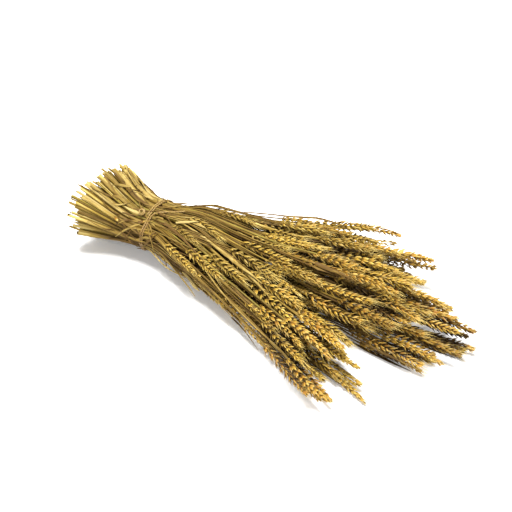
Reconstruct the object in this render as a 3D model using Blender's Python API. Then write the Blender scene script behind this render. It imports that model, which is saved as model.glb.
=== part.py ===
"""A tied bundle of dried wheat, lying down: straws with their ears, a straw tie and three loose leaf blades.

X runs along the bundle from the cut ends to the ears, Y across it, and Z is up. While the bundle is laid out,
X is measured from the tie. At the end everything moves together, so that the origin is the bottom centre of
the whole bundle's box. Lengths are in metres.
"""

import math

import bpy
import numpy as np

# The bundle
BUTT_REACH = 0.094  # from the tie back to the cut ends
WAIST_HALF_WIDTH = 0.0435  # half the bundle's width at the tie, to the outermost straws' middles
WAIST_HALF_HEIGHT = 0.0315  # and half its height
WAIST_HEIGHT = 0.0460  # of the bundle's middle above the surface, at the tie
WAIST_LENGTH = 0.024  # the stretch in which the tie presses the straws together
PITCH = 0.0062  # between neighbouring straws there
GAP = 0.0003  # between pieces that touch
HANDFULS = 14  # groups that the inner straws are joined in
BUTT_FLARE = (0.70, 0.53)  # how fast the cut ends spread, across and up
BUTT_RISE = 0.135  # how fast the cut ends' middle climbs
CUT_SLANT = 0.006  # how much further the near side's cut ends reach than the middle's
EAR_FLARE = (0.64, 0.76)  # how fast the ears spread across, at the fan's near side and at its far side
FLARE_START = 0.052  # from the tie
FLARE_LENGTH = (0.60, 0.21)  # how far the ears go on spreading, near side and far side
TWIST = math.radians(24)  # how far each half of the bundle is turned about its length
PILE_HEIGHT = 0.086  # of the ears' pile, which has a flat underside, at its middle
PILE_START = 0.09  # from the tie: here the round bundle begins to turn into the pile
PILE_LENGTH = 0.20  # and it has done so over this length
PILE_SLOPE = (0.60, 0.22)  # the share of that height that is lost towards the near side and the far side
PILE_FOOT = 0.0055  # of the lowest ears' middles above the surface
PARTING_AT = -0.34  # the fan parts here, as a share of its half width
PARTING_HALF_WIDTH = 0.10

# The fan of ears seen from above: how far the longest tips reach from the tie, at each distance across.
TIP_OUTLINE = (
    (-0.178, 0.377),
    (-0.158, 0.414),
    (-0.080, 0.419),
    (-0.050, 0.439),
    (-0.024, 0.501),
    (0.012, 0.523),
    (0.060, 0.503),
    (0.090, 0.468),
    (0.115, 0.417),
    (0.140, 0.331),
)
SHORTEST_TIP = 0.140  # from the tie
TIP_SPREAD = 0.350  # how far short of the outline the shortest straws' tips stay
TOP_SHORTER = 0.35  # the share of that which goes by height: the straws on top are the short ones
EVEN_TIPS = ((-1, 0.74), (-0.35, 0.78), (0.2, 1.0), (1, 0.62))  # how much of it there is, from side to side
LATE_SIDE = -0.5  # beyond this share of the half width, on the near side,
LATE_SHARE = 0.27  # this share of the straws are as short as any

# One straw, by the circumradius of its six-sided section, and its ear
SIDES = 6
BUTT_RADIUS = 0.0027
STEM_STATIONS = ((0.070, 0.0024), (0.170, 0.0020), (0.290, 0.0017))  # distance from the tie, radius
NECK_RADIUS = 0.0013  # where the ear begins
EAR_PROFILE = ((0.25, 0.0067), (0.70, 0.0060), (1.0, 0.0012))  # share of the ear's length, radius
EAR_LENGTH = (0.084, 0.104)
CLEAR_OF_EAR = 0.025  # no stem station lies this close before an ear
RIM = 0.00028  # the ledge around each straw where a handful's pressed stretch ends

# The tie and the leaves
TIE_RADIUS = 0.0013
TIE_TURNS = 2
TIE_TURN_PITCH = 0.0034
TIE_START = -0.0050
TIE_CROSSING = math.radians(118)  # where the tie crosses itself, from straight across to straight up
TIE_END_REACH = 0.046  # of the tie's loose end, past the tie
LEAF_THICKNESS = 0.0006

SETTLING_ROUNDS = 520
SAMPLES = 64  # places along the bundle where straws are kept apart


def hexagon(radius):
    """The six corners of a straw's section, with a flat below and a flat above."""
    angles = np.arange(SIDES) * (2 * math.pi / SIDES)
    return radius * np.stack([np.cos(angles), np.sin(angles)], axis=1)


def smooth_step(value):
    value = np.clip(value, 0.0, 1.0)
    return value * value * (3 - 2 * value)


# ---------------------------------------------------------------- where the straws run


def waist_places():
    """Each straw's middle at the tie, across and up from the bundle's middle: a honeycomb in an ellipse."""
    column = PITCH * math.cos(math.radians(30))
    across = int(WAIST_HALF_WIDTH / column) + 1
    high = int(WAIST_HALF_HEIGHT / PITCH) + 1
    places = [
        (column * i, PITCH * (j + 0.5 * (i % 2)))
        for i in range(-across, across + 1)
        for j in range(-high - 1, high + 1)
    ]
    return np.array([p for p in places if np.hypot(p[0] / WAIST_HALF_WIDTH, p[1] / WAIST_HALF_HEIGHT) <= 1])


def outermost(places):
    """Which straws have a free side at the tie."""
    apart = np.linalg.norm(places[:, None] - places[None], axis=2)
    return ((apart > 0) & (apart < 1.2 * PITCH)).sum(axis=1) < SIDES


def handful_of(places):
    """The number of the handful that each of these straws belongs to: the nearest of HANDFULS middles."""
    order = np.argsort(np.arctan2(places[:, 1], places[:, 0]))
    middles = places[order[np.linspace(0, len(order) - 1, HANDFULS).astype(int)]]
    for _ in range(30):
        nearest = np.linalg.norm(places[:, None] - middles[None], axis=2).argmin(axis=1)
        middles = np.array([places[nearest == k].mean(axis=0) for k in range(HANDFULS)])
    return nearest


def share_of_bundle(place, x):
    """A straw's place as shares of the bundle's half width and half height, at distance x past the waist."""
    side, level = place / (WAIST_HALF_WIDTH, WAIST_HALF_HEIGHT)
    turn = TWIST * x / math.hypot(x, 0.08)
    return side * math.cos(turn) - level * math.sin(turn), side * math.sin(turn) + level * math.cos(turn)


def wanted_place(place, x):
    """Where a straw would run at distance x from the tie if nothing was in its way, across and up."""
    x = math.copysign(max(abs(x) - WAIST_LENGTH / 2, 0), x)
    side, level = share_of_bundle(place, x)
    if x < 0:
        width = math.hypot(WAIST_HALF_WIDTH, BUTT_FLARE[0] * x)
        height = math.hypot(WAIST_HALF_HEIGHT, BUTT_FLARE[1] * x)
        return np.array([side * width, WAIST_HEIGHT - BUTT_RISE * x + level * height])
    flare_length = float(np.interp(side, (-1, 1), FLARE_LENGTH))
    flare = float(np.interp(side, (-1, 1), EAR_FLARE))
    spread = flare_length * math.tanh(max(x - FLARE_START, 0) / flare_length)
    width = math.hypot(WAIST_HALF_WIDTH, flare * spread)
    opened = float(smooth_step((x - PILE_START) / PILE_LENGTH))
    slope = PILE_SLOPE[0 if side < 0 else 1]
    top = PILE_HEIGHT * (1 - slope * side * side)
    room = math.sqrt(max(1 - side * side, 0.06))
    in_pile = PILE_FOOT + (top - PILE_FOOT) * float(np.clip((level + room) / (2 * room), 0, 1))
    from_parting = side - PARTING_AT
    side += opened * PARTING_HALF_WIDTH * math.copysign(math.exp(-abs(from_parting) / 0.22), from_parting)
    near_tie = WAIST_HEIGHT + level * WAIST_HALF_HEIGHT
    return np.array([side * width, near_tie + opened * (in_pile - near_tie)])


def tip_limit(across):
    """How far the longest tips reach at this distance across."""
    sides, reaches = zip(*TIP_OUTLINE)
    return float(np.interp(across, sides, reaches))


def rings_of(place, rng, pressed_radius):
    """A straw's sections, each as distance from the tie, across, up and circumradius, before it settles."""
    ear_length = rng.uniform(*EAR_LENGTH)
    side, level = share_of_bundle(place, 0.32)
    drawn = rng.random()
    late = side < LATE_SIDE and drawn > 1 - LATE_SHARE
    shorter = 1.0 if late else TOP_SHORTER * (level + 1) / 2 + (1 - TOP_SHORTER) * drawn
    spread = TIP_SPREAD * float(np.interp(side, *zip(*EVEN_TIPS)))
    tip = tip_limit(wanted_place(place, 0.32)[0]) - spread * shorter**1.35
    tip = max(tip, SHORTEST_TIP + 0.06 * rng.random())
    neck = tip - ear_length
    thickness = rng.uniform(0.9, 1.05)
    cut = -BUTT_REACH + CUT_SLANT * place[0] / WAIST_HALF_WIDTH + rng.uniform(-0.010, 0.009)
    sections = [(cut, BUTT_RADIUS * thickness)]
    sections += [(-WAIST_LENGTH / 2, pressed_radius), (WAIST_LENGTH / 2, pressed_radius)]
    sections += [(x, radius * thickness) for x, radius in STEM_STATIONS if x < neck - CLEAR_OF_EAR]
    sections += [(neck, NECK_RADIUS)]
    sections += [(neck + share * ear_length, radius * thickness) for share, radius in EAR_PROFILE]
    return np.array([(x, *wanted_place(place, x), radius) for x, radius in sections])


class Settling:
    """All the straws' sections at once, for keeping them apart and above the surface."""

    def __init__(self, straws):
        self.count = len(straws)
        most = max(len(s) for s in straws)
        self.lengths = np.array([len(s) for s in straws])
        self.rings = np.array([np.vstack([s, np.repeat(s[-1:], most - len(s), axis=0)]) for s in straws])
        self.wanted = self.rings[:, :, 1:3].copy()
        self.free = np.arange(most)[None] < self.lengths[:, None]
        self.free[:, 1:3] = False
        self.sample_places()

    def sample_places(self):
        """For each sample along the bundle: every straw's section before it, and the share past that one."""
        xs = self.rings[:, :, 0]
        at = np.linspace(xs.min() + 0.002, xs.max() - 0.002, SAMPLES)
        last = self.lengths[:, None] - 2
        before = np.minimum((xs[:, None, :] <= at[None, :, None]).sum(axis=2) - 1, last)
        self.before = np.maximum(before, 0)
        low = np.take_along_axis(xs, self.before, axis=1)
        high = np.take_along_axis(xs, self.before + 1, axis=1)
        share = (at[None] - low) / (high - low)
        self.there = (share >= 0) & (share <= 1)
        self.share = np.clip(share, 0, 1)
        self.radius = self.between(self.rings[:, :, 3])
        pressed = np.abs(at) < STEM_STATIONS[0][0]
        self.radius[:, pressed] = np.minimum(self.radius[:, pressed], (PITCH - GAP) / 2)

    def between(self, values):
        """Values given at the sections, read at the samples."""
        low = np.take_along_axis(values, self.before, axis=1)
        high = np.take_along_axis(values, self.before + 1, axis=1)
        return low + (high - low) * self.share

    def push_apart(self, margin, strength):
        """Moves the sections of straws that come too near each other, and returns the deepest overlap."""
        y, z = self.between(self.rings[:, :, 1]), self.between(self.rings[:, :, 2])
        dy, dz = y[:, None] - y[None], z[:, None] - z[None]
        apart = np.sqrt(dy * dy + dz * dz) + 1e-9
        needed = self.radius[:, None] + self.radius[None] + margin
        both = self.there[:, None] & self.there[None]
        both &= ~np.eye(self.count, dtype=bool)[:, :, None]
        short = np.where(both, np.maximum(needed - apart, 0), 0)
        rows = np.arange(self.count)[:, None]
        weight = np.full(self.free.shape, 1e-6)
        touched = (short > 0).any(axis=1)
        for step, share in ((0, 1 - self.share), (1, self.share)):
            np.add.at(weight, (rows, self.before + step), share * touched)
        for axis, delta in ((1, dy), (2, dz)):
            push = (short * delta / apart).sum(axis=1) * strength
            moved = np.zeros(self.free.shape)
            for step, share in ((0, 1 - self.share), (1, self.share)):
                np.add.at(moved, (rows, self.before + step), share * push)
            self.rings[:, :, axis] += np.where(self.free, moved / weight, 0)
        return short.max()

    def straighten(self, strength):
        """Draws each section towards the line through its neighbours, as a stiff straw does."""
        xs = self.rings[:, :, 0]
        for k in range(2, self.rings.shape[1] - 1):
            inside = self.free[:, k] & (self.lengths > k + 1)
            span = np.where(inside, xs[:, k + 1] - xs[:, k - 1], 1)
            share = ((xs[:, k] - xs[:, k - 1]) / span)[:, None]
            line = self.rings[:, k - 1, 1:3] * (1 - share) + self.rings[:, k + 1, 1:3] * share
            bend = np.where(inside[:, None], line - self.rings[:, k, 1:3], 0)
            self.rings[:, k, 1:3] += strength * bend
            self.rings[:, k + 1, 1:3] -= 0.3 * strength * bend

    def keep_up(self):
        """Nothing goes below the surface: a section rests on its lower flat."""
        lowest = self.rings[:, :, 3] * math.cos(math.pi / SIDES)
        self.rings[:, :, 2] = np.maximum(self.rings[:, :, 2], lowest)

    def settle(self):
        for n in range(SETTLING_ROUNDS):
            calm = n / SETTLING_ROUNDS
            if calm < 0.7:
                pull = 0.05 * (1 - calm)
                towards = (self.wanted - self.rings[:, :, 1:3]) * self.free[:, :, None]
                self.rings[:, :, 1:3] += pull * towards
                self.straighten(0.10)
            self.push_apart(2 * GAP, 0.5)
            self.keep_up()
        for _ in range(80):
            self.push_apart(1.5 * GAP, 0.5)
            self.keep_up()
        return [self.rings[i, : self.lengths[i]] for i in range(self.count)]


def section_at(rings, x):
    """A straw's middle across and up, and its radius, at distance x from the tie, or None past its ends."""
    if not rings[0, 0] <= x <= rings[-1, 0]:
        return None
    return [float(np.interp(x, rings[:, 0], rings[:, column])) for column in (1, 2, 3)]


# ---------------------------------------------------------------- meshes


def material(name, colour, roughness):
    made = bpy.data.materials.new(name)
    made.use_nodes = True
    shader = made.node_tree.nodes["Principled BSDF"]
    shader.inputs["Base Color"].default_value = (*colour, 1.0)
    shader.inputs["Roughness"].default_value = roughness
    return made


def add_object(name, points, faces, finish):
    mesh = bpy.data.meshes.new(name)
    mesh.from_pydata([tuple(p) for p in points], [], faces)
    mesh.materials.append(finish)
    made = bpy.data.objects.new(name, mesh)
    bpy.context.scene.collection.objects.link(made)
    return made


class Shell:
    """Points and faces of one closed mesh, put together ring by ring."""

    def __init__(self):
        self.points = []
        self.faces = []

    def ring(self, section):
        """Adds a straw's six-sided section, given as distance, across, up and radius."""
        x, y, z, radius = section
        first = len(self.points)
        self.points += [(x, y + dy, z + dz) for dy, dz in hexagon(radius)]
        return list(range(first, first + SIDES))

    def tube(self, sections, start=None, close_start=False, close_end=False):
        """Joins rings along X. It starts from the ring that is given, or makes its first one."""
        rings = [start] if start else []
        rings += [self.ring(s) for s in sections]
        for a, b in zip(rings, rings[1:]):
            towards_ears = self.points[b[0]][0] > self.points[a[0]][0]
            for k in range(SIDES):
                face = (a[k], a[(k + 1) % SIDES], b[(k + 1) % SIDES], b[k])
                self.faces.append(face if towards_ears else face[::-1])
        if close_start:
            self.faces.append(tuple(reversed(rings[0])))
        if close_end:
            towards_ears = self.points[rings[-1][0]][0] > self.points[rings[-2][0]][0]
            self.faces.append(tuple(rings[-1]) if towards_ears else tuple(reversed(rings[-1])))


def build_stalk(name, rings, finish):
    """One straw with its ear."""
    shell = Shell()
    shell.tube(rings, close_start=True, close_end=True)
    return add_object(name, shell.points, shell.faces, finish)


def comb_plane(shell, x, places):
    """The honeycomb corners that a handful's straws share in one plane, moved in a little at its outside.
    Returns each straw's six corners."""
    full, shrunk = hexagon(PITCH / math.sqrt(3)), hexagon((PITCH - GAP) / math.sqrt(3))

    def key_of(corner):
        return tuple(np.round(corner / (0.1 * PITCH)).astype(int))

    shared = {}
    for place in places:
        for corner, drawn in zip(place + full, place + shrunk):
            shared.setdefault(key_of(corner), []).append(drawn)
    number = {}
    for key, drawn in shared.items():
        number[key] = len(shell.points)
        y, z = np.mean(drawn, axis=0)
        shell.points.append((x, y, WAIST_HEIGHT + z))
    return [[number[key_of(corner)] for corner in place + full] for place in places]


def build_handful(name, straws, places, finish):
    """Several straws with their ears, joined where the tie presses them together."""
    shell = Shell()
    back = comb_plane(shell, -WAIST_LENGTH / 2, places)
    front = comb_plane(shell, WAIST_LENGTH / 2, places)
    edges = {(c[k], c[(k + 1) % SIDES]) for c in back for k in range(SIDES)}
    for behind, ahead, rings in zip(back, front, straws):
        for k in range(SIDES):
            a, b = behind[k], behind[(k + 1) % SIDES]
            if (b, a) not in edges:
                shell.faces.append((a, b, ahead[(k + 1) % SIDES], ahead[k]))
        for corners, inner, run, outwards in (
            (behind, rings[1], rings[:1], False),
            (ahead, rings[2], rings[3:], True),
        ):
            rim = shell.ring(inner)
            for k in range(SIDES):
                nxt = (k + 1) % SIDES
                face = (corners[k], corners[nxt], rim[nxt], rim[k])
                shell.faces.append(face if outwards else face[::-1])
            shell.tube(run, start=rim, close_end=True)
    return add_object(name, shell.points, shell.faces, finish)


# ---------------------------------------------------------------- the tie and the leaves


def skin_points(straws, x, clear):
    """The corners, across and up, of a band pulled taut round the straws at x and raised by clear.
    They run anticlockwise as seen from the ears."""
    found = [section_at(rings, x) for rings in straws]
    corners = np.vstack([hexagon(f[2]) + (f[0], f[1]) for f in found if f])
    order = corners[np.lexsort((corners[:, 1], corners[:, 0]))]
    hull = []
    for run in (order, order[::-1]):
        side = []
        for point in run:
            while len(side) > 1 and np.cross(side[-1] - side[-2], point - side[-2]) <= 1e-12:
                side.pop()
            side.append(point)
        hull += side[:-1]
    hull = [p for n, p in enumerate(hull) if np.linalg.norm(p - hull[n - 1]) > 1e-5]
    raised = []
    for before, here, after in zip(hull[-1:] + hull[:-1], hull, hull[1:] + hull[:1]):
        normals = [np.array([d[1], -d[0]]) / np.linalg.norm(d) for d in (here - before, after - here)]
        middle = normals[0] + normals[1]
        raised.append(here + middle * 2 * clear / middle.dot(middle))
    return raised


def skin_at(straws, x, angle, clear):
    """The point of the raised skin in this direction from the bundle's middle."""
    middle = np.array([0, WAIST_HEIGHT])
    points = skin_points(straws, x, clear)
    outward = np.array([math.cos(angle), math.sin(angle)])
    best = None
    for a, b in zip(points, points[1:] + points[:1]):
        edge = b - a
        determinant = np.cross(outward, edge)
        if abs(determinant) < 1e-12:
            continue
        reach = np.cross(a - middle, edge) / determinant
        share = np.cross(a - middle, outward) / determinant
        if reach > 0 and -1e-6 <= share <= 1 + 1e-6:
            best = max(reach, best or 0)
    return np.array([x, *(middle + best * outward)])


def wire(name, points, radius, finish, cyclic=False):
    curve = bpy.data.curves.new(name, "CURVE")
    curve.dimensions = "3D"
    curve.bevel_depth = radius
    curve.bevel_resolution = 1
    curve.use_fill_caps = not cyclic
    spline = curve.splines.new("POLY")
    spline.points.add(len(points) - 1)
    for target, point in zip(spline.points, points):
        target.co = (*point, 1.0)
    spline.use_cyclic_u = cyclic
    curve.materials.append(finish)
    made = bpy.data.objects.new(name, curve)
    bpy.context.scene.collection.objects.link(made)
    return made


def build_tie(straws, finish):
    """The straw wound twice round the bundle, its loose end laid over the top, and the curl that locks it."""
    clear = TIE_RADIUS + GAP
    skin = skin_points(straws, 0, clear)[::-1]
    angles = [math.atan2(p[1] - WAIST_HEIGHT, p[0]) for p in skin]
    first = int(np.argmin(np.abs(np.array(angles) - TIE_CROSSING)))
    skin = skin[first:] + skin[:first]
    count = int(TIE_TURNS) * len(skin)
    points = [
        np.array([TIE_START + TIE_TURN_PITCH * n / len(skin), *skin[n % len(skin)]]) for n in range(count)
    ]
    last_x, crossing = points[-1][0], math.atan2(points[-1][2] - WAIST_HEIGHT, points[-1][1])
    for share in np.linspace(0.15, 1.0, 8):
        x = last_x + (TIE_END_REACH - last_x) * share
        points.append(skin_at(straws, x, crossing - math.radians(40) * math.sqrt(share), clear))
    wire("tie_straw", points, TIE_RADIUS, finish)

    curl_x = TIE_START - 0.0085
    middle = skin_at(straws, curl_x, TIE_CROSSING, clear + 0.0020)
    outward = np.array([0, math.cos(TIE_CROSSING), math.sin(TIE_CROSSING)])
    across = np.array([0, -math.sin(TIE_CROSSING), math.cos(TIE_CROSSING)])
    ring = [
        middle + 0.0042 * math.cos(a) * across + 0.0042 * math.sin(a) * np.array([1.0, 0, 0])
        + 0.0006 * math.cos(2 * a) * outward
        for a in np.linspace(0, 2 * math.pi, 14, endpoint=False)
    ]
    wire("tie_curl", ring, 0.0010, finish, cyclic=True)


def top_at(straws, x, across, half_width):
    """The height of the highest straw under a strip of a leaf."""
    height = 0.0
    for rings in straws:
        found = section_at(rings, x)
        if found and abs(found[0] - across) < half_width + found[2]:
            height = max(height, found[1] + found[2])
    return height


def build_leaf(name, straws, start, end, width, bow, finish):
    """A dry leaf blade laid over the straws, from start to end as seen from above, bowed aside by bow."""
    steps = 16
    route = []
    for k in range(steps + 1):
        t = k / steps
        x = start[0] + (end[0] - start[0]) * t
        y = start[1] + (end[1] - start[1]) * t + bow * math.sin(math.pi * t)
        half = 0.5 * width * (0.25 + 0.75 * math.sin(math.pi * min(1.0, 0.15 + 0.85 * t)))
        route.append((x, y, half, top_at(straws, x, y, half)))
    heights = np.array([r[3] for r in route])
    for _ in range(3):
        raised = heights.copy()
        raised[1:-1] = np.maximum(heights[1:-1], (heights[:-2] + heights[2:]) / 2)
        heights = raised
    lowest = [max(heights[max(k - 1, 0) : k + 2]) + GAP for k in range(steps + 1)]
    points, faces = [], []
    for (x, y, half, _), z in zip(route, lowest):
        points += [(x, y - half, z), (x, y + half, z)]
        points += [(x, y + half, z + LEAF_THICKNESS), (x, y - half, z + LEAF_THICKNESS)]
    for k in range(steps):
        a, b = 4 * k, 4 * (k + 1)
        faces += [(a + i, a + (i + 1) % 4, b + (i + 1) % 4, b + i) for i in range(4)]
    faces += [(3, 2, 1, 0), tuple(4 * steps + i for i in range(4))]
    return add_object(name, points, faces, finish)


# ---------------------------------------------------------------- putting it together


def centre_on_base(objects):
    """Moves everything together, so that the origin is the bottom centre of the bundle's box."""
    graph = bpy.context.evaluated_depsgraph_get()
    points = np.array([v.co for o in objects for v in o.evaluated_get(graph).to_mesh().vertices])
    low, high = points.min(axis=0), points.max(axis=0)
    for made in objects:
        made.location = (-(low[0] + high[0]) / 2, -(low[1] + high[1]) / 2, -low[2])


def main():
    for leftover in list(bpy.data.objects):
        bpy.data.objects.remove(leftover)
    straw = material("straw", (0.62, 0.47, 0.16), 0.55)
    husk = material("ear", (0.52, 0.34, 0.08), 0.6)
    dry_leaf = material("leaf", (0.60, 0.48, 0.22), 0.7)

    rng = np.random.default_rng(11)
    places = waist_places()
    free_side = outermost(places)
    pressed = np.where(free_side, (PITCH - GAP) / math.sqrt(3), PITCH / math.sqrt(3) - RIM)
    straws = Settling([rings_of(p, rng, r) for p, r in zip(places, pressed)]).settle()

    outer = sorted(np.flatnonzero(free_side), key=lambda i: math.atan2(places[i, 0], places[i, 1]))
    for number, i in enumerate(outer, 1):
        build_stalk(f"stalk_{number:02d}", straws[i], husk)
    inner = np.flatnonzero(~free_side)
    handfuls = handful_of(places[inner])
    for k in range(HANDFULS):
        members = inner[handfuls == k]
        build_handful(f"inner_handful_{k + 1:02d}", [straws[i] for i in members], places[members], husk)

    build_tie(straws, straw)
    build_leaf("leaf_top", straws, (0.052, -0.012), (0.215, -0.064), 0.011, 0.004, dry_leaf)
    build_leaf("leaf_near", straws, (0.085, -0.045), (0.270, -0.128), 0.006, -0.006, dry_leaf)
    build_leaf("leaf_far", straws, (0.090, 0.040), (0.275, 0.108), 0.006, 0.010, dry_leaf)
    bpy.context.view_layer.update()
    centre_on_base([o for o in bpy.context.scene.objects if o.type in ("MESH", "CURVE")])


main()
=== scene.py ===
"""Looks of the bundle of dried wheat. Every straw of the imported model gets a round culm, its sheaths and
an ear of separate husks; then come the tie, the dry leaves and a plain studio. Metres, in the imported
model's frame: straws run along +X from their cut ends to their ears, and the bundle lies on z = 0."""

import math

import bpy
import numpy as np
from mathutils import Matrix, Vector


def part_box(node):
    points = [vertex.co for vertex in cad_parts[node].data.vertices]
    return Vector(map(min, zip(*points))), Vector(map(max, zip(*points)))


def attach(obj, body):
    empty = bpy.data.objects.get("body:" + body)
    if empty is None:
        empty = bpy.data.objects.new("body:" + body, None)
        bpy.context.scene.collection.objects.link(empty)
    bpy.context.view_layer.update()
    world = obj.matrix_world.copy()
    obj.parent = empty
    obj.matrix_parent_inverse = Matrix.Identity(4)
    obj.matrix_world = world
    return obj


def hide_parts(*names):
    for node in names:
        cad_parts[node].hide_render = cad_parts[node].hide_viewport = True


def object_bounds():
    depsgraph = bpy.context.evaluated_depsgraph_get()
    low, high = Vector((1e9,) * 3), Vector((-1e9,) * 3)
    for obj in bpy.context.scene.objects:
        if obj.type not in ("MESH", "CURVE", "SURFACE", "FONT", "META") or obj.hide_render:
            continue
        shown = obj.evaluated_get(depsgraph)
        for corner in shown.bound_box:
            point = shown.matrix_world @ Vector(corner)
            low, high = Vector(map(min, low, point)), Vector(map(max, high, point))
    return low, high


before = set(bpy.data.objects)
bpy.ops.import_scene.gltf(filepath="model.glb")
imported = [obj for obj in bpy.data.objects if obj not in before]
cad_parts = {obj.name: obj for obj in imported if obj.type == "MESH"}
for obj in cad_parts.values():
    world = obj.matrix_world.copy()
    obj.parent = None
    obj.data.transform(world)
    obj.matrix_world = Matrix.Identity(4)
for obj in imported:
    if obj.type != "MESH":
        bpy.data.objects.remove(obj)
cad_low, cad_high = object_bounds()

MM = 0.001
SEED = 20

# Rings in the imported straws: six corners each, and the waist between the second and the third.
CORNERS = 6
EAR_RINGS = 4  # the last rings: neck, widest, upper and tip of the ear
SAME_PLACE = 0.1 * MM

# Culms
CULM_SHARE = 0.90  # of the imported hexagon's radius
THICKEST_CULM = 2.75 * MM
SHELTER = 7 * MM  # how far above a point the crowding is read for the painted shade, because light comes from above
STRAW_REACH = 300 * MM  # over which the value "along" of a straw grows by one, from nothing at the waist
SHEATH_CHANCE = 0.75  # at each joint
BROKEN_EACH = (4, 2)  # broken stalks beside an outer and beside an inner straw
BLADE_CHANCE = (0.5, 0.25)  # at the end of each sheath, likewise
LATE_CHANCE = (0.85, 0.12)  # of a tiller beside each straw, likewise
FLAG_CHANCE = 0.85
FLAG_CLEAR = 110 * MM  # straws shorter than this past the waist show no flag leaf
TILLER_EAR = (52 * MM, 76 * MM)
TILLER_RADIUS = 1.5 * MM
TILLER = ((75 * MM, 260 * MM), (0, 5 * MM))  # how far its tip is past the waist; how far out it stands
FAR_TILLER = ((220 * MM, 380 * MM), (6 * MM, 14 * MM))
BROKEN_SIDES = 6
BROKEN_SHORT = (-10 * MM, 6 * MM)  # how far a broken stalk's end stays short of its neighbours' ends
SLIMNESS = (0.58, 0.88)  # how much thinner each culm is past the waist than its packed straw
STATION_STEP = 11 * MM
WALL_SHARE = 0.70
HOLLOW_DEPTH = 6 * MM
FLOOR_CLEARANCE = 0.3 * MM
SHARP_ANGLE = 50  # degrees

# Leaf and straw scraps
SCRAPS = 84
SPLINTERS = 64
LEAF_THICKNESS = 0.25 * MM

# Ears
SPIKELETS = (18, 22)
SHORT_EAR = 80 * MM  # ears shorter than this are slimmer too
NEAR_LIT_SIDE = -20 * MM  # ears whose tips are nearer than this get less of their dirt darkening: painted light on the near side
EAR_USED = 0.90  # share of the ear's length up to the last pair of spikelets
# Each spikelet: base up, across and out; tilt out and fan across in degrees; length, half width and
# depth; and how far its back turns aside. Millimetres and degrees.
GLUME = (0.0, 1.50, 0.7, 16, 22, 9.8, 1.65, 1.35, 52)
SIDE_LEMMA = (1.2, 1.00, 1.2, 22, 16, 12.8, 1.90, 1.55, 26)
MIDDLE_LEMMA = (3.4, 0.0, 1.5, 29, 0, 11.6, 1.80, 1.50, 0)
AWN_RADIUS = 0.20 * MM
BRISTLY_SHARE = 0.65  # of all ears

CULM, SHEATH, HUSK, BLADE = range(4)  # material slots of every stalk
MOST_SEED = 90  # seeds move a shape's grain elsewhere in the noise


def unit(vectors):
    return vectors / np.linalg.norm(vectors, axis=-1, keepdims=True)


def mixed(low, high, share):
    return low + (high - low) * share


def sampled(x, known, values):
    """Rows of values at x, between the rows at the known places."""
    return np.column_stack([np.interp(x, known, column) for column in values.T])


def length_along(middles):
    """How far along a line each of its points is."""
    return np.concatenate([[0], np.cumsum(np.linalg.norm(np.diff(middles, axis=0), axis=1))])


def square_to(ahead, ways):
    """The ways, turned until they are square to ahead."""
    return unit(ways - ahead * (ways * ahead).sum(axis=1, keepdims=True))


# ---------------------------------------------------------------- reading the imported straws


def corners_and_edges(node):
    """A node's corners, each once, and the pairs of them that an edge joins."""
    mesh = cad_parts[node].data
    places = np.empty(len(mesh.vertices) * 3, np.float32)
    mesh.vertices.foreach_get("co", places)
    ends = np.empty(len(mesh.edges) * 2, np.int32)
    mesh.edges.foreach_get("vertices", ends)
    corners, index = np.unique(places.reshape(-1, 3).round(6), axis=0, return_inverse=True)
    return corners.astype(float), index.ravel()[ends].reshape(-1, 2)


def rings_along(corners):
    """One straw's rings in order along x: each one's middle, and its corners' mean distance from that."""
    rings = corners[np.argsort(corners[:, 0])].reshape(-1, CORNERS, 3)
    middles = rings.mean(axis=1)
    return middles, np.linalg.norm((rings - middles[:, None])[..., 1:], axis=2).mean(axis=1)


def connected(edges, kept):
    """The kept corners in groups that edges join."""
    root = np.arange(len(kept))
    inside = edges[kept[edges].all(axis=1)]
    while True:
        low = root.copy()
        np.minimum.at(low, inside[:, 0], root[inside[:, 1]])
        np.minimum.at(low, inside[:, 1], root[inside[:, 0]])
        if (low == root).all():
            break
        root = low
    return [np.flatnonzero(kept & (root == r)) for r in np.unique(root[kept])]


def straws_in_handful(node, waist):
    """The middles and radii of each straw of a handful, whose straws share walls between the waist planes."""
    corners, edges = corners_and_edges(node)
    parts = []
    sides = corners[:, 0] < waist[0] - SAME_PLACE, corners[:, 0] > waist[1] + SAME_PLACE
    for plane, beyond in zip(waist, sides):
        on_plane = abs(corners[:, 0] - plane) < SAME_PLACE
        found = []
        for group in connected(edges, beyond):
            mine = np.zeros(len(corners), bool)
            mine[group] = True
            touched = edges[(mine[edges] ^ on_plane[edges]).all(axis=1) & mine[edges].any(axis=1)]
            cell = corners[np.unique(touched[on_plane[touched]])]
            found.append((cell.mean(axis=0), rings_along(corners[group])))
        parts.append(found)
    straws = []
    for root, (butt, butt_radius) in parts[0]:
        other, (top, top_radius) = min(parts[1], key=lambda p: np.linalg.norm((p[0] - root)[1:]))
        radius = np.concatenate([butt_radius, [THICKEST_CULM / CULM_SHARE] * 2, top_radius])
        straws.append((np.vstack([butt, root, other, top]), radius))
    return straws


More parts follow.
